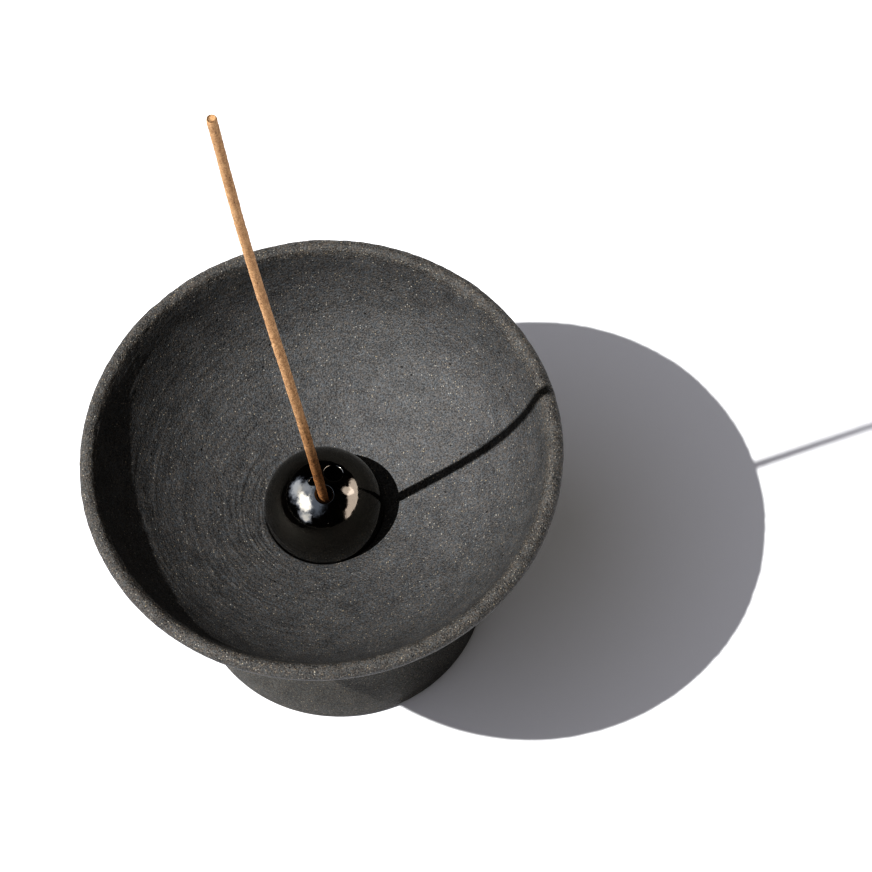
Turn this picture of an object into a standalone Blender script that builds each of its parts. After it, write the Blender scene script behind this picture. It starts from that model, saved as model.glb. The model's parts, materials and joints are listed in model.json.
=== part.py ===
"""Incense burner: a stoneware dish on a pedestal foot, a loose glazed ball with holes, and a stick.

Metres, +Z up. The origin is on the dish's axis, in the plane that the foot stands on.
The ball lifts straight out of its pocket, and the stick pulls out of the ball along its own axis.
"""
import math

import bmesh
import bpy
from mathutils import Vector

MM = 0.001

# Dish
RIM_RADIUS = 50.8 * MM
RIM_HEIGHT = 68.4 * MM
LIP_RADIUS = 1.7 * MM                # the lip is a rounded bead, twice this thick
LIP_ANGLE = math.radians(66)         # steepness of the wall where it meets the lip
CONE_SLOPE = 0.385                   # rise of the flat part of the dish for each metre outwards
CONE_APEX = 36.8 * MM                # height where that slope would meet the axis
FLOOR_THICKNESS = 5.8 * MM           # of the dish near the waist; it thins towards the lip

# Waist and foot
UNDERSIDE_END = 39.0 * MM            # radius of the dish's inside above the start of the waist's curve
WAIST_RADIUS = 28.8 * MM
WAIST_HEIGHT = 20.0 * MM
WAIST_HANDLE = 14.0 * MM             # how far the curve into the waist holds its end directions
FOOT_RADIUS = 31.6 * MM
FOOT_BAND_TOP = 2.5 * MM             # the foot's side is upright up to here
FOOT_EDGE_RADIUS = 0.9 * MM
FOOT_RING_WIDTH = 6.2 * MM
HOLLOW_ROOF = 22.5 * MM
HOLLOW_TOP_RADIUS = 21.5 * MM
HOLLOW_CORNER_RADIUS = 5.0 * MM

# Ball
BALL_RADIUS = 12.7 * MM
BALL_CENTRE = Vector((-0.9, -1.0, 44.1)) * MM
EMPTY_HOLES = (                      # offsets from the ball's centre, and radius
    (2.87 * MM, 1.74 * MM, 1.95 * MM),
    (-1.53 * MM, 0.16 * MM, 0.75 * MM),
)
STICK_HOLE = Vector((1.12, -2.95, 0.6)) * MM       # middle of its floor, from the ball's centre
STICK_HOLE_RADIUS = 1.7 * MM
CUTTER_RISE = 3.0 * MM               # of the tools that cut the holes, above the ball's top

# Pocket that holds the ball: a round hollow about it, a little off the dish's axis
POCKET_CENTRE = BALL_CENTRE
POCKET_RADIUS = BALL_RADIUS + 0.3 * MM
POCKET_SEGMENTS = 56

# Stick
STICK_RADIUS = 1.05 * MM
STICK_FOOT = Vector((-0.08, -3.74, 45.1)) * MM
STICK_TIP = Vector((-10.07, -1.60, 219.3)) * MM
STICK_BOW = 0.3 * MM                 # sideways sag of the stick's middle
STICK_POINTS = 16

# Steps of the curves
TURN_STEPS = 64
INSIDE_STEPS = 14
INSIDE_CROWDING = 0.75               # below 1, the points of the dish's inside crowd towards the lip
LIP_STEPS = 8
UNDERSIDE_STEPS = 6
WAIST_STEPS = 8
FOOT_SIDE_STEPS = 6
EDGE_STEPS = 3
HOLLOW_STEPS = 5
BALL_SEGMENTS = 48
HOLE_SEGMENTS = 20


def arc(centre, radius, start, end, steps):
    """Points on a circle in the (radius, height) plane, from one angle in degrees to another."""
    points = []
    for i in range(steps + 1):
        angle = math.radians(start + (end - start) * i / steps)
        points.append((centre[0] + radius * math.cos(angle), centre[1] + radius * math.sin(angle)))
    return points


def bezier(p0, p1, p2, p3, steps):
    """Points inside a cubic curve, without its two ends."""
    points = []
    for i in range(1, steps):
        t = i / steps
        weights = ((1 - t) ** 3, 3 * t * (1 - t) ** 2, 3 * t * t * (1 - t), t ** 3)
        points.append(tuple(sum(w * p[k] for w, p in zip(weights, (p0, p1, p2, p3))) for k in (0, 1)))
    return points


# The dish's inside is a cone plus a power of the radius, chosen so that it touches the lip's bead.
LIP_CENTRE = (RIM_RADIUS - LIP_RADIUS, RIM_HEIGHT - LIP_RADIUS)
WALL_END = LIP_CENTRE[0] - LIP_RADIUS * math.sin(LIP_ANGLE)
FLARE_RISE = (LIP_CENTRE[1] + LIP_RADIUS * math.cos(LIP_ANGLE)) - CONE_APEX - CONE_SLOPE * WALL_END
FLARE_POWER = (math.tan(LIP_ANGLE) - CONE_SLOPE) * WALL_END / FLARE_RISE


def inside_height(radius):
    return CONE_APEX + CONE_SLOPE * radius + FLARE_RISE * (radius / WALL_END) ** FLARE_POWER


def inside_slope(radius):
    return CONE_SLOPE + FLARE_POWER * FLARE_RISE / WALL_END * (radius / WALL_END) ** (FLARE_POWER - 1)


def underside_point(radius):
    """The point of the dish's underside straight through the wall from its inside."""
    angle = math.atan(inside_slope(radius))
    thickness = FLOOR_THICKNESS + (2 * LIP_RADIUS - FLOOR_THICKNESS) * (radius / WALL_END) ** 3
    return (radius + thickness * math.sin(angle), inside_height(radius) - thickness * math.cos(angle))


def dish_profile():
    """From the axis up the dish's inside, over the lip and back under the dish."""
    radii = [WALL_END * (i / INSIDE_STEPS) ** INSIDE_CROWDING for i in range(INSIDE_STEPS + 1)]
    points = [(r, inside_height(r)) for r in radii]
    lip_start = 90 + math.degrees(LIP_ANGLE)
    points += arc(LIP_CENTRE, LIP_RADIUS, lip_start, lip_start - 180, LIP_STEPS)[1:]
    for i in range(1, UNDERSIDE_STEPS + 1):
        points.append(underside_point(WALL_END + (UNDERSIDE_END - WALL_END) * i / UNDERSIDE_STEPS))
    return points


def pedestal_profile():
    """From the dish's underside through the waist, down the foot's side and into the hollow."""
    top = underside_point(UNDERSIDE_END)
    angle = math.atan(inside_slope(UNDERSIDE_END))
    leaving = (top[0] - WAIST_HANDLE * math.cos(angle), top[1] - WAIST_HANDLE * math.sin(angle))
    waist = (WAIST_RADIUS, WAIST_HEIGHT)
    points = bezier(top, leaving, (WAIST_RADIUS, WAIST_HEIGHT + WAIST_HANDLE), waist, WAIST_STEPS)

    for i in range(FOOT_SIDE_STEPS + 1):
        down = i / FOOT_SIDE_STEPS
        blend = (1 - math.cos(math.pi * down)) / 2
        height = WAIST_HEIGHT + (FOOT_BAND_TOP - WAIST_HEIGHT) * down
        points.append((WAIST_RADIUS + (FOOT_RADIUS - WAIST_RADIUS) * blend, height))

    edge = FOOT_EDGE_RADIUS
    points += arc((FOOT_RADIUS - edge, edge), edge, 0, -90, EDGE_STEPS)
    hollow_radius = FOOT_RADIUS - FOOT_RING_WIDTH
    points += arc((hollow_radius + edge, edge), edge, -90, -180, EDGE_STEPS)
    corner = HOLLOW_CORNER_RADIUS
    points += arc((HOLLOW_TOP_RADIUS - corner, HOLLOW_ROOF - corner), corner, 0, 90, HOLLOW_STEPS)
    return points + [(0.0, HOLLOW_ROOF)]


def material(name, colour, roughness, metallic=0.0, coat=0.0):
    mat = bpy.data.materials.new(name)
    mat.use_nodes = True
    shader = mat.node_tree.nodes["Principled BSDF"]
    shader.inputs["Base Color"].default_value = (*colour, 1.0)
    shader.inputs["Roughness"].default_value = roughness
    shader.inputs["Metallic"].default_value = metallic
    shader.inputs["Coat Weight"].default_value = coat
    mat.diffuse_color = (*colour, 1.0)
    return mat


def add_object(name, data, collection, mat=None):
    obj = bpy.data.objects.new(name, data)
    collection.objects.link(obj)
    if mat:
        data.materials.append(mat)
    return obj


def add_cutter(name, shape, location, cutters):
    """An object that cuts others and isn't part of the burner."""
    mesh = bpy.data.meshes.new(name)
    shape.to_mesh(mesh)
    shape.free()
    cutter = add_object(name, mesh, cutters)
    cutter.location = location
    cutter.hide_render = True
    cutter.display_type = "WIRE"
    return cutter


def cut(obj, cutter):
    modifier = obj.modifiers.new(cutter.name, "BOOLEAN")
    modifier.operation = "DIFFERENCE"
    modifier.solver = "EXACT"
    modifier.object = cutter


def make_bowl(parts, cutters):
    """The dish, waist and foot: one profile turned about the axis, with a round pocket cut in."""
    points = dish_profile() + pedestal_profile()
    mesh = bpy.data.meshes.new("pedestal_bowl")
    edges = [(i, i + 1) for i in range(len(points) - 1)]
    mesh.from_pydata([(r, 0.0, z) for r, z in points], edges, [])
    clay = material("stoneware", (0.085, 0.085, 0.09), 0.85)
    bowl = add_object("pedestal_bowl", mesh, parts, clay)
    screw = bowl.modifiers.new("turn", "SCREW")
    screw.steps = TURN_STEPS
    screw.render_steps = TURN_STEPS
    screw.use_merge_vertices = True
    screw.merge_threshold = 0.00001
    screw.use_smooth_shade = True
    shape = bmesh.new()
    bmesh.ops.create_uvsphere(shape, u_segments=POCKET_SEGMENTS, v_segments=POCKET_SEGMENTS // 2,
                              radius=POCKET_RADIUS)
    cut(bowl, add_cutter("pocket_cutter", shape, POCKET_CENTRE, cutters))
    return bowl


def make_hole_cutter(name, radius, length, location, cutters):
    """A cylinder that stands on its location."""
    shape = bmesh.new()
    bmesh.ops.create_cone(shape, cap_ends=True, segments=HOLE_SEGMENTS,
                          radius1=radius, radius2=radius, depth=length)
    bmesh.ops.translate(shape, verts=shape.verts, vec=(0, 0, length / 2))
    return add_cutter(name, shape, location, cutters)


def make_ball(parts, cutters):
    """A solid glazed ball with three blind holes. Its origin is its centre.

    The two empty holes are upright, and the third slants as the stick in it does.
    """
    mesh = bpy.data.meshes.new("incense_ball")
    shape = bmesh.new()
    bmesh.ops.create_uvsphere(shape, u_segments=BALL_SEGMENTS, v_segments=BALL_SEGMENTS // 2,
                              radius=BALL_RADIUS)
    shape.to_mesh(mesh)
    shape.free()
    glaze = material("black_glaze", (0.012, 0.010, 0.009), 0.06, coat=1.0)
    ball = add_object("incense_ball", mesh, parts, glaze)
    ball.location = BALL_CENTRE
    length = BALL_RADIUS + CUTTER_RISE
    for index, (offset_x, offset_y, radius) in enumerate(EMPTY_HOLES):
        place = BALL_CENTRE + Vector((offset_x, offset_y, 0))
        cut(ball, make_hole_cutter(f"hole_cutter_{index}", radius, length, place, cutters))
    stick_cutter = make_hole_cutter("stick_hole_cutter", STICK_HOLE_RADIUS, length,
                                    BALL_CENTRE + STICK_HOLE, cutters)
    stick_cutter.rotation_mode = "QUATERNION"
    stick_cutter.rotation_quaternion = (STICK_TIP - STICK_FOOT).to_track_quat("Z", "Y")
    cut(ball, stick_cutter)
    mesh.shade_smooth()
    mesh.set_sharp_from_angle(angle=math.radians(40))
    return ball


def make_stick(parts):
    """A round stick with a slight bow. Its origin is its foot, at the bottom of its hole."""
    axis = STICK_TIP - STICK_FOOT
    sideways = axis.cross(Vector((0, 1, 0))).normalized()
    curve = bpy.data.curves.new("incense_stick", "CURVE")
    curve.dimensions = "3D"
    curve.bevel_depth = STICK_RADIUS
    curve.bevel_resolution = 4
    curve.use_fill_caps = True
    spline = curve.splines.new("POLY")
    spline.points.add(STICK_POINTS - 1)
    for i, point in enumerate(spline.points):
        t = i / (STICK_POINTS - 1)
        place = axis * t + sideways * STICK_BOW * math.sin(math.pi * t)
        point.co = (*place, 1.0)
    incense = material("incense_paste", (0.40, 0.21, 0.11), 0.8)
    stick = add_object("incense_stick", curve, parts, incense)
    stick.location = STICK_FOOT
    return stick


def main():
    for obj in list(bpy.data.objects):
        bpy.data.objects.remove(obj)
    parts = bpy.data.collections.new("incense_burner")
    cutters = bpy.data.collections.new("cutters")
    bpy.context.scene.collection.children.link(parts)
    bpy.context.scene.collection.children.link(cutters)
    make_bowl(parts, cutters)
    make_ball(parts, cutters)
    make_stick(parts)


main()
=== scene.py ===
import json
import math

import bpy
import numpy as np
from mathutils import Matrix, Vector, geometry, noise


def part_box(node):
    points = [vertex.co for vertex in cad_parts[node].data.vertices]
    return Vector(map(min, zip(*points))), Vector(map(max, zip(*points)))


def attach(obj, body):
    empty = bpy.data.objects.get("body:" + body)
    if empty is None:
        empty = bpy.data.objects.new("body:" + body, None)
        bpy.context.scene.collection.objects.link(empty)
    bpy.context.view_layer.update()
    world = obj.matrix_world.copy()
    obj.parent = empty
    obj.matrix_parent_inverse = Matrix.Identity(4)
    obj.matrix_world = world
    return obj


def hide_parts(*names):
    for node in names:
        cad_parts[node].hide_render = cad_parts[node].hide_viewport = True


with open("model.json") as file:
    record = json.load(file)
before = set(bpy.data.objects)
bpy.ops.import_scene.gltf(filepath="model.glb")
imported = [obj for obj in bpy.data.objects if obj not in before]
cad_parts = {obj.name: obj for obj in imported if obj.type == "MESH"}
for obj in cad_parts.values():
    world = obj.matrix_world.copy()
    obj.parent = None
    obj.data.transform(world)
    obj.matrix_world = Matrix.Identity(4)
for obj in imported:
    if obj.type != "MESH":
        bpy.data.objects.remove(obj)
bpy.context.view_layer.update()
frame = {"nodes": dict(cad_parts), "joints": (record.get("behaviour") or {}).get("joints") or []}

MM = 0.001

# Sizes read from the frame
bowl_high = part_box("pedestal_bowl")[1]
ball_low, ball_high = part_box("incense_ball")
stick_low, stick_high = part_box("incense_stick")
RIM_RADIUS = bowl_high.x
RIM_HEIGHT = bowl_high.z
BALL_CENTRE = (ball_low + ball_high) / 2
BALL_RADIUS = (ball_high.x - ball_low.x) / 2

# Camera: looks down at the dish, a little to the right of it, to leave room for its shadow
CAMERA_ELEVATION = math.radians(64.44)
CAMERA_ROLL = math.radians(-6.52)
CAMERA_DISTANCE = 22.81 * RIM_RADIUS
CAMERA_TARGET = Vector((0.4813 * RIM_RADIUS, 0.0157 * RIM_RADIUS, RIM_HEIGHT))
CAMERA_LENS = 228.7

# Light
KEY_DIRECTION = Vector((-0.5439, -0.1071, 0.8323))     # from the dish towards the key light
KEY_STRENGTH = 5.2
KEY_ANGLE = math.radians(0.6)
HAZE_STRENGTH = 0.68                 # the bright sky about the key light, which pales its shadows' rims
HAZE_ANGLE = math.radians(66)
HAZE_COLOUR = (0.92, 0.95, 1.18)
FLOOR_COLOUR = (0.62, 0.62, 0.62)
SKY = (0.262, 0.254, 0.249)          # what the pale room around sends to matt surfaces
BACKDROP = (0.93, 0.93, 0.93)        # what the camera sees beyond the floor

# What the glaze mirrors: patches of window at the key light, and the pale side of the room
WINDOW_SPAN = 1.3                    # from its middle to its edges, for each metre of its distance
WINDOW_PATCHES = [                   # middle, half width and half height, brightness, whiteness
    ((0.14, 0.26), (0.58, 0.45), 1.3, 0.0),
    ((-0.62, -0.22), (0.46, 0.28), 3.8, 0.4),
    ((-0.38, 0.12), (0.32, 0.30), 2.6, 0.3),
    ((0.52, -0.34), (0.28, 0.17), 4.5, 0.7),
    ((0.08, -0.10), (0.42, 0.20), 9.0, 1.0),
]
SIDE_CARDS = [(-8, 26, (3.0, 1.1)), (8, 40, (0.6, 0.9))]       # azimuth, elevation and size
SIDE_BRIGHTNESS = 3.2
SIDE_COLOUR = (1.0, 0.90, 0.86)
MIRRORED_DISTANCE = 2.0              # from the ball to each of these lights

# Bowl: rings of the mesh, and the marks that the potter's fingers and the grit left
TURN_STEPS = 720
FINE_STEP = 0.3 * MM                 # between the mesh's rings inside the dish and on the lip
COARSE_STEP = 0.8 * MM
AXIS_GAP = 1.0 * MM                  # the mesh's rings stop this far from the axis, in the foot's hollow
LIP_SPREAD = 2.4 * MM                # how far from its top the lip is rough
CLEAR_EDGE = 1.5 * MM                # the relief grows over this distance from the pocket's edge
GROOVE_PITCH = 1.6 * MM
GROOVE_DEPTH = 0.068 * MM
FINE_GROOVE_DEPTH = 0.052 * MM
GRIT_HEIGHT = 0.013 * MM
LIP_DENT = 0.075 * MM
LIP_GRIT = 0.055 * MM
HAND_WAVE = 0.07 * MM                # the dish is a little out of true towards its lip
STANDING_HEIGHT = 1.5 * MM           # below this the relief only goes inwards, so that the foot lies flat
GROOVED_SIDE = math.radians(148)     # where the grooves are deepest; elsewhere they were wiped smoother
GROOVED_SPREAD = math.radians(62)

# Pocket: a round hollow about the ball, a little off the dish's axis
POCKET_CENTRE = BALL_CENTRE
POCKET_RADIUS = BALL_RADIUS + 0.15 * MM
POCKET_RINGS = 42
POCKET_EDGE = 0.1 * MM               # the clay's drop at the pocket's worn edge
POCKET_SPREAD = 10 * MM              # beyond this from the edge, the dish's rings are true to its axis

# Ball: three holes with rounded, glazed edges
GLAZE_WAVE = 0.05 * MM
GLAZE_RIPPLE = 0.012 * MM
UPRIGHT = Vector((0, 0, 1))
STICK_AXIS = Vector(next(joint["axis"] for joint in frame["joints"]
                         if joint["name"] == "stick_pull")).normalized()
HOLES = [                            # middle of the floor from the ball's centre, radius, edge, way
    (Vector((2.87, 1.74, 0)) * MM, 1.9 * MM, 0.35 * MM, UPRIGHT),
    (Vector((1.18, -2.98, 0.6)) * MM, 1.55 * MM, 0.5 * MM, STICK_AXIS),
    (Vector((-1.53, 0.16, 0)) * MM, 0.72 * MM, 0.3 * MM, UPRIGHT),
]
HOLE_SIDES = 64
CAP_RINGS = 33                       # rings of the ball's top, where the holes are
CAP_ANGLE = math.radians(40)

# Stick
STICK_RADIUS = 1.03 * MM
STICK_SIDES = 28
STICK_RINGS = 760
STICK_WAVE = 0.3 * MM                # the stick dried with a slight S bend


def make_camera():
    forward = Vector((0, math.cos(CAMERA_ELEVATION), -math.sin(CAMERA_ELEVATION)))
    data = bpy.data.cameras.new("camera")
    data.lens = CAMERA_LENS
    data.clip_start = 0.01
    data.clip_end = 50
    camera = bpy.data.objects.new("camera", data)
    bpy.context.scene.collection.objects.link(camera)
    turn = forward.to_track_quat("-Z", "Y").to_matrix()
    camera.matrix_world = (
        Matrix.Translation(CAMERA_TARGET - forward * CAMERA_DISTANCE)
        @ turn.to_4x4() @ Matrix.Rotation(CAMERA_ROLL, 4, "Z")
    )
    bpy.context.scene.camera = camera


# --- Small helpers -------------------------------------------------------------------------------

class Nodes:
    """Adds shader nodes to a tree and links them, so that a material reads as a few lines."""

    def __init__(self, tree):
        self.tree = tree

    def add(self, kind, inputs=(), **settings):
        node = self.tree.nodes.new(kind)
        for name, value in settings.items():
            setattr(node, name, value)
        for name, value in dict(inputs).items():
            self.set(node, name, value)
        return node

    def set(self, node, name, value):
        socket = node.inputs[name]
        if isinstance(value, bpy.types.NodeSocket):
            self.tree.links.new(value, socket)
        elif isinstance(value, tuple) and socket.type == "RGBA":
            socket.default_value = (*value[:3], 1.0)
        else:
            socket.default_value = value

    def math(self, operation, a, b):
        return self.add("ShaderNodeMath", {0: a, 1: b}, operation=operation).outputs[0]

    def total(self, *terms):
        """The sum of some (value, weight) pairs."""
        result = 0.0
        for value, weight in terms:
            result = self.add("ShaderNodeMath", {0: value, 1: weight, 2: result},
                              operation="MULTIPLY_ADD").outputs[0]
        return result

    def vector(self, operation, a, b=(0.0, 0.0, 0.0), scale=1.0):
        inputs = {0: a, 3: scale} if operation == "SCALE" else {0: a, 1: b}
        node = self.add("ShaderNodeVectorMath", inputs, operation=operation)
        return node.outputs["Value" if operation == "LENGTH" else "Vector"]

    def step(self, value, low, high, out_low=0.0, out_high=1.0):
        inputs = {"Value": value, "From Min": low, "From Max": high, "To Min": out_low, "To Max": out_high}
        node = self.add("ShaderNodeMapRange", inputs, interpolation_type="SMOOTHSTEP")
        return node.outputs["Result"]

    def mix(self, factor, a, b, blend="MIX"):
        node = self.add("ShaderNodeMix", data_type="RGBA", blend_type=blend)
        for index, value in ((0, factor), (6, a), (7, b)):
            self.set(node, index, value)
        return node.outputs[2]

    def noise(self, vector, size, detail=2.0, roughness=0.5):
        inputs = {"Vector": vector, "Scale": 1.0 / size, "Detail": detail, "Roughness": roughness}
        return self.add("ShaderNodeTexNoise", inputs).outputs["Fac"]

    def cells(self, vector, size):
        """Cells about a size across: the distance to the middle of each, and its random colour."""
        node = self.add("ShaderNodeTexVoronoi", {"Vector": vector, "Scale": 1.0 / size})
        red_green_blue = self.add("ShaderNodeSeparateColor", {0: node.outputs["Color"]}).outputs
        return node.outputs["Distance"], red_green_blue

    def dots(self, vector, size, rare, reach):
        """Soft dots in the middle of some cells, those with a high chance."""
        distance, chance = self.cells(vector, size)
        return self.math("MULTIPLY", self.step(chance[0], *rare), self.step(distance, *reach, 1.0, 0.0))

    def bump(self, height, distance):
        return self.add("ShaderNodeBump", {"Height": height, "Distance": distance}).outputs["Normal"]


def new_material(name):
    """A material, its nodes, its shader, and the place on the object in millimetres."""
    material = bpy.data.materials.new(name)
    material.use_nodes = True
    nodes = Nodes(material.node_tree)
    shader = material.node_tree.nodes["Principled BSDF"]
    place = nodes.add("ShaderNodeTexCoord").outputs["Object"]
    return material, nodes, shader, nodes.vector("SCALE", place, scale=1 / MM)


class Skin:
    """Collects the points and the faces of one closed mesh, ring by ring."""

    def __init__(self):
        self.points = []
        self.faces = []
        self.count = 0

    def add(self, points):
        """Adds points and gives back their numbers."""
        points = np.asarray(points).reshape(-1, 3)
        self.points.append(points)
        self.count += len(points)
        return np.arange(self.count - len(points), self.count)

    def join(self, ring, next_ring):
        sides = [ring, next_ring, np.roll(next_ring, -1), np.roll(ring, -1)]
        self.faces += np.stack(sides, axis=1).tolist()

    def close(self, ring, point):
        """Fills a ring with a fan about a point. Seen from outside, the ring runs anticlockwise."""
        middle = np.full(len(ring), self.add(point)[0])
        self.faces += np.stack([ring, np.roll(ring, -1), middle], axis=1).tolist()

    def mesh(self, name):
        mesh = bpy.data.meshes.new(name)
        mesh.from_pydata(np.concatenate(self.points).tolist(), [], self.faces)
        mesh.validate()
        mesh.shade_smooth()
        return mesh


def add_piece(name, mesh, material, body, node):
    piece = bpy.data.objects.new(name, mesh)
    bpy.context.scene.collection.objects.link(piece)
    mesh.materials.append(material)
    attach(piece, body)
    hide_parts(node)
    return piece


def field(shape, row_blur, column_blur, seed):
    """Smooth noise on a grid that wraps round its columns: about -2 to 2, blurred by the given cells."""
    rows = shape[0] + int(6 * row_blur)
    values = np.random.default_rng(seed).standard_normal((rows, shape[1]))
    across = np.exp(-2 * (math.pi * row_blur * np.fft.fftfreq(rows)) ** 2)
    along = np.exp(-2 * (math.pi * column_blur * np.fft.fftfreq(shape[1])) ** 2)
    values = np.fft.ifft2(np.fft.fft2(values) * across[:, None] * along[None, :]).real
    return (values / values.std())[: shape[0]]


# --- Pedestal bowl -------------------------------------------------------------------------------

def cad_profile():
    """The CAD bowl's outline from the pocket's edge to the middle of the foot's hollow.

    The CAD bowl is turned in steps, and one of its steps lies in the XZ plane at +X. The flat disc
    at the end has no point on the axis, so it is added.
    """
    mesh = frame["nodes"]["pedestal_bowl"].data
    on_plane = {v.index: (round(v.co.x, 6), round(v.co.z, 6)) for v in mesh.vertices
                if abs(v.co.y) < 1e-6 and v.co.x > -1e-6}
    linked = {}
    for edge in mesh.edges:
        a, b = (on_plane.get(i) for i in edge.vertices)
        if a and b and a != b:
            linked.setdefault(a, set()).add(b)
            linked.setdefault(b, set()).add(a)
    start, end = sorted((p for p in linked if len(linked[p]) == 1), key=lambda p: -p[1])
    outline = [start]
    while outline[-1] != end:
        outline.append(next(p for p in linked[outline[-1]] if p not in outline))
    return np.array(outline + [(0.0, end[1])])


def smooth_outline(points):
    """The outline resampled finely, on a smooth curve through its points. Fine inside the dish."""
    gaps = np.linalg.norm(np.diff(points, axis=0), axis=1)
    knots = np.concatenate([[0], np.cumsum(gaps)])
    slopes = np.gradient(points, knots, axis=0)
    lip = knots[np.argmax(points[:, 1])]
    fine_end = lip + 6 * MM
    places = np.concatenate([np.arange(0, fine_end, FINE_STEP),
                             np.arange(fine_end, knots[-1] - AXIS_GAP, COARSE_STEP)])
    k = np.clip(np.searchsorted(knots, places) - 1, 0, len(gaps) - 1)
    t = ((places - knots[k]) / gaps[k])[:, None]
    span = gaps[k][:, None]
    smooth = ((2 * t ** 3 - 3 * t ** 2 + 1) * points[k] + (t ** 3 - 2 * t ** 2 + t) * span * slopes[k]
              + (-2 * t ** 3 + 3 * t ** 2) * points[k + 1] + (t ** 3 - t ** 2) * span * slopes[k + 1])
    return smooth, places, lip


def bowl_relief(outline, places, lip):
    """How far the clay's skin stands out of the turned shape, in metres, for each ring and step.

    Sharp broken grooves run round the dish. The lip is rougher, because its fine clay was wiped off
    and left the grit standing. The pocket and the foot's face, where other things sit, stay smooth.
    """
    shape = (len(outline), TURN_STEPS)
    radius = outline[:, :1]
    open_clay = np.clip(places / CLEAR_EDGE, 0.1, 1)[:, None]
    on_lip = np.exp(-((places - lip) / LIP_SPREAD) ** 2)[:, None]
    rows = GROOVE_PITCH / FINE_STEP
    grooves = (np.abs(field(shape, rows / 3.4, 26, 1)) - 0.8) * GROOVE_DEPTH
    grooves += (np.abs(field(shape, rows / 7, 16, 2)) - 0.8) * FINE_GROOVE_DEPTH
    turn = np.arange(TURN_STEPS) / TURN_STEPS * 2 * math.pi
    combed = 0.3 + 0.7 * np.exp(-((turn - GROOVED_SIDE) / GROOVED_SPREAD) ** 2)
    patches = np.clip(0.75 + 0.4 * field(shape, 25, 60, 3), 0.15, 1.6) * combed
    relief = grooves * patches * (1 - 0.8 * on_lip)
    relief += field(shape, 0.9, 0.9, 7) * GRIT_HEIGHT * (1 + on_lip)
    relief += on_lip * (field(shape, 4, 6, 4) * LIP_DENT + field(shape, 1.1, 1.1, 5) * LIP_GRIT)
    relief += field(shape, 40, 60, 6) * HAND_WAVE * np.clip(radius / RIM_RADIUS, 0, 1)
    standing = outline[:, 1:] < STANDING_HEIGHT
    relief = np.where(standing, -0.2 * np.abs(relief), relief)
    return relief * open_clay


def pocket_edge(turn, height, slope):
    """Distance of the pocket's edge from its middle, and its height, for each turn about the middle.

    height and slope are those of the dish's inside, a cone there: height at the axis, rise outwards.
    """
    reach = np.full(len(turn), POCKET_RADIUS)
    for attempt in range(30):
        from_axis = np.hypot(POCKET_CENTRE.x + reach * np.cos(turn),
                             POCKET_CENTRE.y + reach * np.sin(turn))
        z = height + slope * from_axis - POCKET_EDGE
        reach = np.sqrt(POCKET_RADIUS ** 2 - (POCKET_CENTRE.z - z) ** 2)
    return reach, z


def make_bowl():
    """The turned bowl. Its rings start about the pocket and become true to the axis further out."""
    outline, places, lip = smooth_outline(cad_profile())
    tangent = np.gradient(outline, axis=0)
    tangent /= np.linalg.norm(tangent, axis=1)[:, None]
    relief = bowl_relief(outline, places, lip)
    turn = np.arange(TURN_STEPS) / TURN_STEPS * 2 * math.pi
    first, slope = outline[0], tangent[0, 1] / tangent[0, 0]
    reach, edge_height = pocket_edge(turn, first[1] - slope * first[0], slope)

    skin = Skin()
    rings = []
    end = np.arctan2(reach, POCKET_CENTRE.z - edge_height)
    for angle in (end * i / POCKET_RINGS for i in range(1, POCKET_RINGS)):
        hollow = polar(math.pi - angle, turn, POCKET_RADIUS)
        rings.append(skin.add(hollow + np.array(POCKET_CENTRE)))
    for i, (radius, height) in enumerate(outline):
        past = np.clip(places[i] / POCKET_SPREAD, 0, 1)
        shift = 1 - past ** 2 * (3 - 2 * past)
        ring = radius + shift * (reach - first[0])
        x = POCKET_CENTRE.x * shift + ring * np.cos(turn)
        y = POCKET_CENTRE.y * shift + ring * np.sin(turn)
        z = height + slope * (np.hypot(x, y) - radius) * (shift > 0)
        z = z - POCKET_EDGE * math.exp(-places[i] / POCKET_EDGE)
        x = x - tangent[i, 1] * relief[i] * np.cos(turn)
        y = y - tangent[i, 1] * relief[i] * np.sin(turn)
        z = np.maximum(z + tangent[i, 0] * relief[i], 0.0)
        rings.append(skin.add(np.stack([x, y, z], axis=-1)))
    for ring, next_ring in zip(rings, rings[1:]):
        skin.join(ring, next_ring)
    skin.close(rings[0], POCKET_CENTRE - Vector((0, 0, POCKET_RADIUS)))
    skin.close(rings[-1][::-1], (0, 0, outline[-1, 1]))
    return add_piece("bowl", skin.mesh("bowl"), stoneware_material(), "bowl",
                     "pedestal_bowl")


def grog_specks(nodes, place, lip, mottle):
    """Where pale grains of fired clay show, most of them on the lip, and their colour."""
    distance, chance = nodes.cells(place, 0.44)
    size = nodes.total((chance[2], 0.24), (1.0, 0.12))
    rare = nodes.total((chance[0], 1.0), (lip, 0.29), (mottle, 0.24))
    speck = nodes.math("MULTIPLY", nodes.step(rare, 0.95, 0.99),
                       nodes.step(nodes.math("SUBTRACT", distance, size), -0.06, 0.06, 1.0, 0.0))
    return speck, nodes.mix(chance[1], (0.225, 0.182, 0.118), (0.290, 0.280, 0.255))


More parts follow.
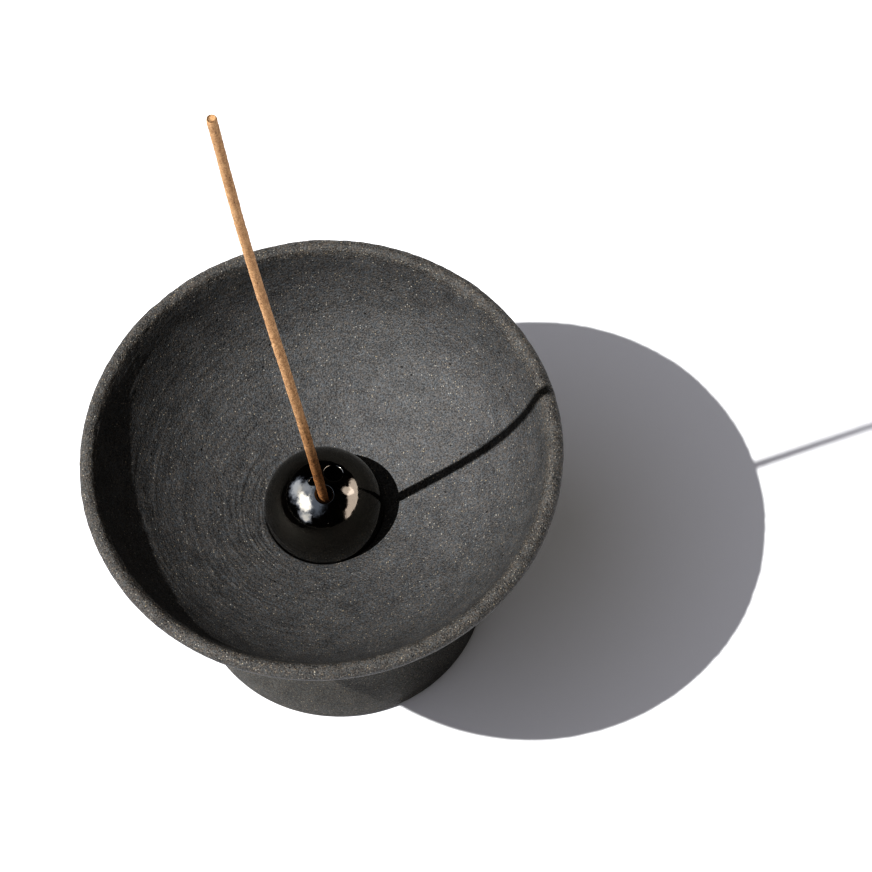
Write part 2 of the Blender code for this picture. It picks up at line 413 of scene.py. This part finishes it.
def stoneware_material():
    """Dark grey unglazed clay: gritty and streaky, with pale grog, a worn lip, a browner foot and small
    pits painted dark with shade.
    """
    material, nodes, shader, place = new_material("stoneware")
    flat = nodes.vector("MULTIPLY", place, (1.0, 1.0, 0.0))
    radius = nodes.vector("LENGTH", flat)
    height = nodes.add("ShaderNodeSeparateXYZ", {0: place}).outputs["Z"]
    around = nodes.vector("NORMALIZE", flat)
    outline = nodes.add("ShaderNodeCombineXYZ", {"Z": nodes.math("ADD", radius, height)}).outputs[0]

    def streaks(width, turns):
        """Noise in long arcs round the axis, a width across in millimetres."""
        swept = nodes.vector("ADD", nodes.vector("SCALE", around, scale=turns),
                             nodes.vector("SCALE", outline, scale=1 / width))
        return nodes.noise(swept, 1.0, 2.0)

    broad, thin = streaks(2.2, 5.0), streaks(0.7, 9.0)
    grain, fine = nodes.noise(place, 0.34, 2.0, 0.6), nodes.noise(place, 0.16, 1.0)
    mottle = nodes.noise(place, 4.5, 3.0)

    edge = nodes.total((height, 1.0), (mottle, 1.6), (grain, 1.2))
    lip_level = RIM_HEIGHT / MM
    lip = nodes.math("MULTIPLY", nodes.step(edge, lip_level - 0.6, lip_level + 0.4),
                     nodes.step(radius, RIM_RADIUS / MM - 5.2, RIM_RADIUS / MM - 3.6))

    tone = nodes.total((broad, 0.25), (thin, 0.25), (grain, 2.0), (fine, 1.2), (mottle, 0.5))
    tone = nodes.step(tone, 1.5, 2.7)
    clay = nodes.mix(tone, (0.008, 0.008, 0.008), (0.088, 0.088, 0.086))
    worn = nodes.mix(tone, (0.006, 0.0055, 0.005), (0.104, 0.098, 0.088))
    colour = nodes.mix(lip, clay, worn)
    tint = nodes.mix(nodes.step(nodes.noise(place, 0.6, 2.0, 0.7), 0.36, 0.64),
                     (0.90, 1.0, 1.12), (1.14, 0.99, 0.88))
    colour = nodes.mix(0.8, colour, tint, "MULTIPLY")

    speck, grog = grog_specks(nodes, place, lip, mottle)
    colour = nodes.mix(speck, colour, grog)
    foot = nodes.step(height, 25.0, 42.0, 1.0, 0.0)
    colour = nodes.mix(foot, colour, (0.78, 0.74, 0.64), "MULTIPLY")
    # Small pits: the bump sinks them, and their near-black colour is painted shade inside them.
    shaded_pit = nodes.dots(place, 2.1, (0.80, 0.84), (0.06, 0.15))
    colour = nodes.mix(shaded_pit, colour, (0.008, 0.008, 0.008))

    nodes.set(shader, "Base Color", colour)
    nodes.set(shader, "Roughness", nodes.step(grain, 0.3, 0.7, 0.68, 0.56))
    nodes.set(shader, "IOR", 1.55)
    grit = nodes.total((lip, 0.6), (1.0, 1.0))
    relief = nodes.math("MULTIPLY", nodes.total((grain, 0.19), (fine, 0.06), (speck, 0.03)), grit)
    relief = nodes.total((relief, 1.0), (thin, 0.05), (shaded_pit, -0.15))
    nodes.set(shader, "Normal", nodes.bump(relief, MM))
    return material


# --- Ball ----------------------------------------------------------------------------------------

def glaze_wave(points):
    """The ball's points, moved a little in or out as the thick glaze ran."""
    result = []
    for point in np.asarray(points).reshape(-1, 3):
        way = Vector(point).normalized()
        wave = noise.noise(way * 1.7) * GLAZE_WAVE
        ripple = noise.noise(way * 5.0 + Vector((3, 1, 2))) * GLAZE_RIPPLE
        result.append(Vector(point) + way * (wave + ripple))
    return np.array([tuple(p) for p in result])


def polar(angle, turn, radius=1.0):
    """Points on a ball, from their angles to the axis and their turns about it."""
    angle = angle + 0 * turn
    return np.stack([radius * np.sin(angle) * np.cos(turn), radius * np.sin(angle) * np.sin(turn),
                     radius * np.cos(angle)], axis=-1)


def hole_rings(floor, radius, edge, way):
    """Rings from the edge of a hole, round its glazed corner, down its wall to its rounded floor."""
    turn = np.arange(HOLE_SIDES) / HOLE_SIDES * 2 * math.pi
    across = np.array(way.cross(Vector((0, 1, 0))).normalized())
    along, floor = np.array(way), np.array(floor)
    out = across * np.cos(turn)[:, None] + np.cross(along, across) * np.sin(turn)[:, None]
    middle = floor + out * (radius + edge)
    rise = middle @ along
    rise = np.sqrt(rise ** 2 + (BALL_RADIUS - edge) ** 2 - (middle ** 2).sum(axis=1)) - rise
    middle = middle + along * rise[:, None]
    start = middle / np.linalg.norm(middle, axis=1)[:, None]
    bend = np.arccos((start * -out).sum(axis=1))[:, None]
    rings = [middle + edge * (start * np.sin((1 - t) * bend) - out * np.sin(t * bend)) / np.sin(bend)
             for t in np.linspace(0, 1, 9)]
    foot = 0.8 * radius
    for t in np.linspace(1, 0, 13)[1:]:
        rings.append(floor + out * radius + along * (foot + (rise[:, None] - foot) * t))
    for t in np.linspace(0, math.pi / 2, 6)[1:-1]:
        rings.append(floor + out * radius * math.cos(t) + along * foot * (1 - math.sin(t)))
    return rings


def cap_points():
    """Points on the ball's top, in rings about its axis, each six points longer than the last."""
    angle, turn = [0.0], [0.0]
    for i in range(1, CAP_RINGS + 1):
        angle += [CAP_ANGLE * i / CAP_RINGS] * (6 * i)
        turn += [2 * math.pi * k / (6 * i) for k in range(6 * i)]
    return polar(np.array(angle), np.array(turn), BALL_RADIUS)


def laid_flat(points):
    """Points of the ball laid flat, each as far from the middle as its angle to the axis."""
    unit = points / BALL_RADIUS
    reach = np.arccos(np.clip(unit[:, 2], -1, 1)) / np.maximum(np.hypot(unit[:, 0], unit[:, 1]), 1e-9)
    return [Vector((x, y)) for x, y in (unit[:, :2] * reach[:, None]).tolist()]


def add_cap(skin, holes):
    """Adds the ball's top, as triangles that fit round the holes. Gives back its rim and theirs."""
    cap = cap_points()
    spacing = BALL_RADIUS * CAP_ANGLE / CAP_RINGS
    clear = np.ones(len(cap), bool)
    for rings in holes:
        middle = rings[0].mean(axis=0)
        contact = np.linalg.norm(rings[0] - middle, axis=1).max()
        clear &= np.linalg.norm(cap - middle, axis=1) > contact + 0.6 * spacing
    kept = clear.sum()
    points = np.concatenate([cap[clear]] + [rings[0] for rings in holes])
    owner = np.repeat(np.arange(-1, len(holes)), [kept] + [HOLE_SIDES] * len(holes))

    triangles, origin = geometry.delaunay_2d_cdt(laid_flat(points), [], [], 0, 1e-7)[2:4]
    numbers = skin.add(glaze_wave(points))
    for triangle in triangles:
        corners = [origin[i][0] for i in triangle]
        owners = {owner[c] for c in corners}
        if len(owners) > 1 or -1 in owners:
            skin.faces.append([int(numbers[c]) for c in corners])
    return numbers[kept - 6 * CAP_RINGS: kept], [numbers[owner == i] for i in range(len(holes))]


def make_ball():
    """A ball about its own centre, moved to its place at the end."""
    holes = [hole_rings(*hole) for hole in HOLES]
    skin = Skin()
    ring, hole_rims = add_cap(skin, holes)
    turn = np.arange(len(ring)) / len(ring) * 2 * math.pi
    for angle in np.arange(CAP_ANGLE * (1 + 1 / CAP_RINGS), math.pi - 0.01, CAP_ANGLE / CAP_RINGS):
        next_ring = skin.add(glaze_wave(polar(angle, turn, BALL_RADIUS)))
        skin.join(ring, next_ring)
        ring = next_ring
    skin.close(ring[::-1], (0, 0, -BALL_RADIUS))

    for ring, rings, hole in zip(hole_rims, holes, HOLES):
        for points in rings[1:]:
            next_ring = skin.add(glaze_wave(points))
            skin.join(next_ring, ring)
            ring = next_ring
        skin.close(ring[::-1], hole[0])
    mesh = skin.mesh("ball")
    mesh.transform(Matrix.Translation(BALL_CENTRE))
    return add_piece("ball", mesh, glaze_material(), "ball", "incense_ball")


def glaze_material():
    """Thick black glaze: mirror-like, softly uneven, with a few pinholes and a trace of brown."""
    material, nodes, shader, place = new_material("black_glaze")
    pool = nodes.noise(place, 3.0, 2.0)
    colour = nodes.mix(nodes.step(pool, 0.4, 0.7), (0.0008, 0.0007, 0.0006), (0.0022, 0.0015, 0.0011))
    pinhole = nodes.dots(place, 1.4, (0.86, 0.88), (0.04, 0.08))
    nodes.set(shader, "Base Color", colour)
    nodes.set(shader, "Roughness", nodes.step(nodes.noise(place, 0.8, 3.0), 0.35, 0.7, 0.05, 0.13))
    nodes.set(shader, "IOR", 2.0)
    nodes.set(shader, "Specular Tint", (1.0, 0.94, 0.82))
    relief = nodes.total((nodes.noise(place, 1.6, 1.0), 0.03), (nodes.noise(place, 0.5, 1.0), 0.004),
                         (pinhole, -0.04))
    nodes.set(shader, "Normal", nodes.bump(relief, MM))
    return material


# --- Stick ---------------------------------------------------------------------------------------

def stick_line(count):
    """Points along the middle of the CAD stick, with the slight S bend added."""
    points = np.array([tuple(v.co) for v in frame["nodes"]["incense_stick"].data.vertices])
    low, high = stick_low.z + 0.1 * MM, stick_high.z - 0.1 * MM
    z = np.linspace(low, high, count)
    t = (z - low) / (high - low)
    middle = [np.polyval(np.polyfit(points[:, 2], points[:, k], 4), z) for k in (0, 1)]
    middle[0] += STICK_WAVE * np.sin(2 * math.pi * t)
    return np.stack([middle[0], middle[1], z], axis=-1), t


def make_stick():
    line, t = stick_line(STICK_RINGS)
    turn = np.arange(STICK_SIDES) / STICK_SIDES * 2 * math.pi
    along = np.gradient(line, axis=0)
    along /= np.linalg.norm(along, axis=1)[:, None]
    side = np.cross(along, (0, 1, 0))
    side /= np.linalg.norm(side, axis=1)[:, None]
    front = np.cross(along, side)
    shape = (STICK_RINGS, STICK_SIDES)
    grit = field(shape, 1.3, 1.3, 11) * 0.016 + field(shape, 3.5, 2.5, 12) * 0.012
    grit += field(shape, 20, 8, 13) * 0.014
    radius = STICK_RADIUS + grit * MM * (1 + 0.5 * np.exp(-t / 0.12))[:, None]
    end = np.minimum(np.arange(STICK_RINGS), np.arange(STICK_RINGS)[::-1])[:, None]
    radius *= np.sqrt(1 - np.clip(1 - end / 2.5, 0, 1) ** 2 * 0.35)
    skin = Skin()
    rings = []
    for i in range(STICK_RINGS):
        out = side[i] * np.cos(turn)[:, None] + front[i] * np.sin(turn)[:, None]
        rings.append(skin.add(line[i] + out * radius[i][:, None]))
    for ring, next_ring in zip(rings, rings[1:]):
        skin.join(next_ring, ring)
    skin.close(rings[0], line[0])
    skin.close(rings[-1][::-1], line[-1])
    return add_piece("stick", skin.mesh("stick"), incense_material(), "stick",
                     "incense_stick")


def incense_material():
    """Pressed wood powder: tan, granular and streaky, browner and coarser towards its foot."""
    material, nodes, shader, place = new_material("incense_paste")
    height = nodes.add("ShaderNodeSeparateXYZ", {0: place}).outputs["Z"]
    stretched = nodes.vector("MULTIPLY", place, (1.0, 1.0, 0.35))
    streak, grain = nodes.noise(stretched, 0.5, 3.0, 0.6), nodes.noise(place, 0.32, 2.0, 0.6)
    blotch = nodes.noise(place, 5.0, 3.0)
    tone = nodes.step(nodes.total((streak, 1.0), (grain, 1.4), (blotch, 0.4)), 1.0, 1.8)
    upper = nodes.mix(tone, (0.29, 0.155, 0.070), (0.57, 0.36, 0.195))
    lower = nodes.mix(tone, (0.150, 0.065, 0.020), (0.46, 0.225, 0.085))
    foot = nodes.step(nodes.total((height, 1.0), (blotch, 30.0)), BALL_CENTRE.z / MM + 30,
                      BALL_CENTRE.z / MM + 75)
    colour = nodes.mix(foot, lower, upper)
    speck = nodes.dots(place, 0.6, (0.78, 0.84), (0.15, 0.32))
    colour = nodes.mix(speck, colour, (0.05, 0.025, 0.012))
    nodes.set(shader, "Base Color", colour)
    nodes.set(shader, "Roughness", 0.85)
    relief = nodes.total((grain, 0.12), (streak, 0.08), (speck, -0.03))
    nodes.set(shader, "Normal", nodes.bump(relief, MM))
    return material


# --- Floor and light -----------------------------------------------------------------------------

def make_floor():
    size = 12.0
    mesh = bpy.data.meshes.new("floor")
    corners = [(-size, -size, 0), (size, -size, 0), (size, size, 0), (-size, size, 0)]
    mesh.from_pydata(corners, [], [(0, 1, 2, 3)])
    floor = bpy.data.objects.new("floor", mesh)
    bpy.context.scene.collection.objects.link(floor)
    material, nodes, shader, place = new_material("floor_paper")
    nodes.set(shader, "Base Color", FLOOR_COLOUR)
    nodes.set(shader, "Roughness", 1.0)
    nodes.set(shader, "Specular IOR Level", 0.0)
    mesh.materials.append(material)
    return floor


def shine_only_on(light, piece):
    light.light_linking.receiver_collection = bpy.data.collections.new(light.name)
    light.light_linking.receiver_collection.objects.link(piece)


def add_sun(name, strength, angle, colour=(1.0, 1.0, 1.0)):
    """A sun in the key light's direction."""
    data = bpy.data.lights.new(name, "SUN")
    data.energy = strength
    data.angle = angle
    data.color = colour
    sun = bpy.data.objects.new(name, data)
    sun.rotation_mode = "QUATERNION"
    sun.rotation_quaternion = KEY_DIRECTION.to_track_quat("Z", "Y")
    bpy.context.scene.collection.objects.link(sun)
    return sun


def add_mirrored_light(name, piece, way, size, radiance, colour=(1.0, 1.0, 1.0)):
    """A rectangular light that only the glossy surface of one piece shows, and its nodes.

    It lies in a direction from the ball. Its power gives it the wanted brightness.
    """
    data = bpy.data.lights.new(name, "AREA")
    data.shape = "RECTANGLE"
    data.size, data.size_y = size
    data.energy = radiance * math.pi * size[0] * size[1]
    data.color = colour
    data.use_nodes = True
    light = bpy.data.objects.new(name, data)
    light.location = BALL_CENTRE + way.normalized() * MIRRORED_DISTANCE
    light.rotation_mode = "QUATERNION"
    light.rotation_quaternion = way.to_track_quat("Z", "Y")
    light.visible_diffuse = False
    light.visible_camera = False
    shine_only_on(light, piece)
    bpy.context.scene.collection.objects.link(light)
    return Nodes(data.node_tree)


def direction(azimuth, elevation):
    azimuth, elevation = math.radians(azimuth), math.radians(elevation)
    return Vector((math.cos(elevation) * math.cos(azimuth), math.cos(elevation) * math.sin(azimuth),
                   math.sin(elevation)))


def place_on_light(nodes):
    """Where a point lies on a rectangular light: -0.5 to 0.5 each way from its middle."""
    corner_to_corner = nodes.add("ShaderNodeNewGeometry").outputs["Parametric"]
    return nodes.vector("SUBTRACT", corner_to_corner, (0.5, 0.5, 0.0))


def shape_card(nodes):
    """Gives a light an oval outline with an uneven edge."""
    place = place_on_light(nodes)
    unevenness = nodes.noise(place, 0.12, 3.0, 0.6)
    outline = nodes.total((nodes.vector("LENGTH", place), 2.0), (unevenness, 0.9))
    emission = nodes.tree.nodes["Emission"]
    nodes.set(emission, "Strength", nodes.step(outline, 1.3, 1.5, 1.0, 0.0))


def shape_window(nodes):
    """Gives a light the look of a window behind leaves: bright, ragged patches in a blue haze.

    Places across the light are in metres for each metre of its distance, from its middle.
    """
    emission = nodes.tree.nodes["Emission"]
    place = nodes.vector("SCALE", place_on_light(nodes), scale=2 * WINDOW_SPAN)
    leaves = nodes.noise(place, 0.30, 5.0, 0.7)
    glow, colour = 0.0, (0.62, 0.74, 1.0)
    for (x, y), (width, height), bright, warm in WINDOW_PATCHES:
        away = nodes.vector("SUBTRACT", place, (x, y, 0.0))
        away = nodes.vector("MULTIPLY", away, (1 / width, 1 / height, 0.0))
        edge = nodes.total((nodes.vector("LENGTH", away), 1.0), (leaves, 2.2))
        patch = nodes.step(edge, 1.5, 2.5, 1.0, 0.0)
        glow = nodes.math("MAXIMUM", glow, nodes.math("MULTIPLY", patch, bright))
        colour = nodes.mix(nodes.math("MULTIPLY", patch, warm), colour, (1.0, 0.98, 0.95))
    nodes.set(emission, "Color", colour)
    nodes.set(emission, "Strength", glow)


def make_lights(ball, floor):
    add_sun("key", KEY_STRENGTH, KEY_ANGLE)
    haze = add_sun("haze", HAZE_STRENGTH, HAZE_ANGLE, HAZE_COLOUR)
    shine_only_on(haze, floor)
    window_side = 2 * WINDOW_SPAN * MIRRORED_DISTANCE
    shape_window(add_mirrored_light("window", ball, KEY_DIRECTION, (window_side, window_side), 1.0))
    for azimuth, elevation, size in SIDE_CARDS:
        way = direction(azimuth, elevation)
        shape_card(add_mirrored_light("side_card", ball, way, size, SIDE_BRIGHTNESS, SIDE_COLOUR))


def make_surroundings():
    """Even light from all round, which the glaze doesn't mirror, and a pale backdrop."""
    world = bpy.data.worlds.new("world")
    bpy.context.scene.world = world
    world.use_nodes = True
    world.cycles_visibility.glossy = False
    nodes = Nodes(world.node_tree)
    background = world.node_tree.nodes["Background"]
    seen = nodes.add("ShaderNodeLightPath").outputs["Is Camera Ray"]
    nodes.set(background, "Color", nodes.mix(seen, SKY, BACKDROP))
    bpy.context.scene.view_settings.view_transform = "Standard"
    bpy.context.scene.view_settings.look = "High Contrast"


make_camera()
make_bowl()
ball = make_ball()
make_stick()
floor = make_floor()
make_lights(ball, floor)
make_surroundings()
